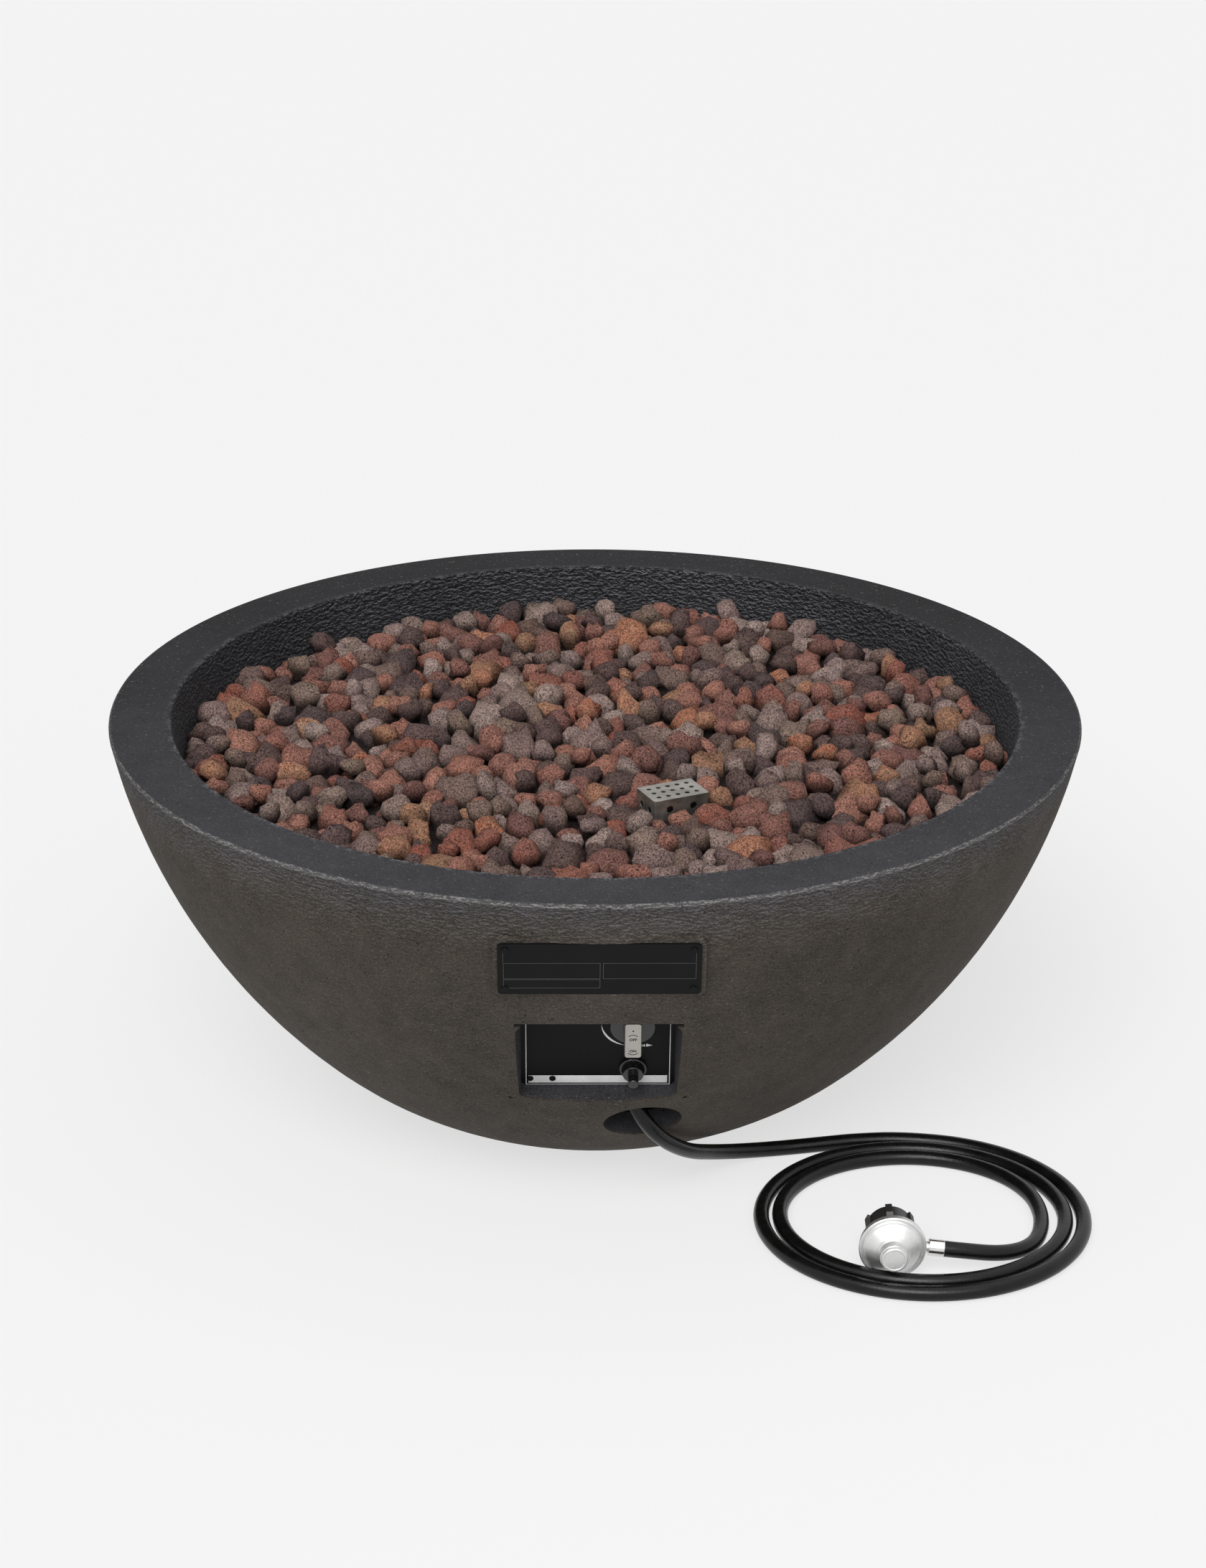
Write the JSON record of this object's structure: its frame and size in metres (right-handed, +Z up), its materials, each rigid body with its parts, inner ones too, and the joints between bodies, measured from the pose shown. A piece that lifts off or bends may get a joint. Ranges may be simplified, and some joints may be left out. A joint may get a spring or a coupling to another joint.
{
  "type": "gas fire bowl",
  "caption": "Round concrete gas fire bowl with lava stones over a ring burner, a front control recess with knob and push igniter, and a coiled hose with regulator.",
  "frame": {"origin": "centre of the bowl's base ring, on the ground", "axes": "+Z up along the bowl's axis, controls face -Y"},
  "size_m": [0.913, 0.9185, 0.381],
  "materials": {
    "concrete": "rough cast, sealed",
    "label_black": "satin print plate",
    "panel_black": "satin powder coat",
    "black_plastic": "moulded",
    "grip_metal": "satin",
    "steel": "stainless",
    "chrome": "bright plated",
    "brass": "machined",
    "zinc": "die cast",
    "hose_rubber": "smooth",
    "nut_black": "moulded",
    "ceramic_white": "unglazed",
    "lead_red": "silicone",
    "copper": "drawn",
    "lava_fill": "crushed lava",
    "lava_grey": "porous lava",
    "lava_dark": "porous lava",
    "lava_red": "porous lava",
    "lava_rust": "porous lava"
  },
  "bodies": {
    "bowl": {"bowl_shell": "concrete", "label_plate": "label_black", "label_screws": "panel_black", "control_panel": "panel_black", "panel_screws": "steel", "spark_module": "black_plastic", "module_screws": "panel_black", "valve_body": "brass", "valve_bonnet": "brass", "valve_screws": "steel", "stem_spring": "steel", "magnet_unit": "brass", "igniter_barrel": "black_plastic", "igniter_nut": "black_plastic", "igniter_cap": "black_plastic", "button_spring": "steel", "battery": "steel", "inlet_elbow": "brass", "hose_nut": "brass", "valve_ferrule": "chrome", "hose_lead": "hose_rubber", "hose_coil": "hose_rubber", "hose_tail": "hose_rubber", "hose_ferrule": "chrome", "regulator_body": "zinc", "diaphragm": "black_plastic", "regulator_bonnet": "zinc", "regulator_cap": "zinc", "inlet_nipple": "brass", "nipple_seal": "hose_rubber", "burner_pan": "steel", "pan_screws": "steel", "burner": "steel", "burner_saddles": "steel", "hub_nut": "brass", "mixer_elbow": "steel", "air_mixer": "steel", "gas_jet": "brass", "gas_pipe": "copper", "pipe_nuts": "brass", "spark_cage": "steel", "electrode_bracket": "steel", "spark_insulator": "ceramic_white", "spark_electrode": "steel", "flame_sensor": "copper", "ignition_lead": "lead_red", "sensor_lead": "copper", "switch_lead": "black_plastic", "lava_bed": "lava_fill", "lava_rocks_grey": "lava_grey", "lava_rocks_dark": "lava_dark", "lava_rocks_red": "lava_red", "lava_rocks_rust": "lava_rust"},
    "plug": {"valve_plug": "brass"},
    "knob": {"knob": "black_plastic", "knob_grip_plate": "grip_metal", "valve_stem": "brass"},
    "igniter_button": {"igniter_button": "black_plastic"},
    "coupling_nut": {"coupling_nut": "nut_black"}
  },
  "joints": [
    {"name": "knob_turn", "type": "hinge", "parent": "bowl", "child": "plug", "pos_m": [0.0304, -0.35023, 0.21976], "axis": [0, -0.9511, -0.309], "range_deg": [0, 210]},
    {"name": "knob_push", "type": "slide", "parent": "plug", "child": "knob", "axis": [0, 0.9511, 0.309], "range_m": [0, 0.003], "stiffness_N_per_m": 1500},
    {"name": "igniter_push", "type": "slide", "parent": "bowl", "child": "igniter_button", "axis": [0, 0.9511, 0.309], "range_m": [0, 0.004], "stiffness_N_per_m": 1200},
    {"name": "coupling_nut_spin", "type": "hinge", "parent": "bowl", "child": "coupling_nut", "pos_m": [0.2601, -0.387, 0.0303], "axis": [0, 1, 0], "continuous": true}
  ]
}
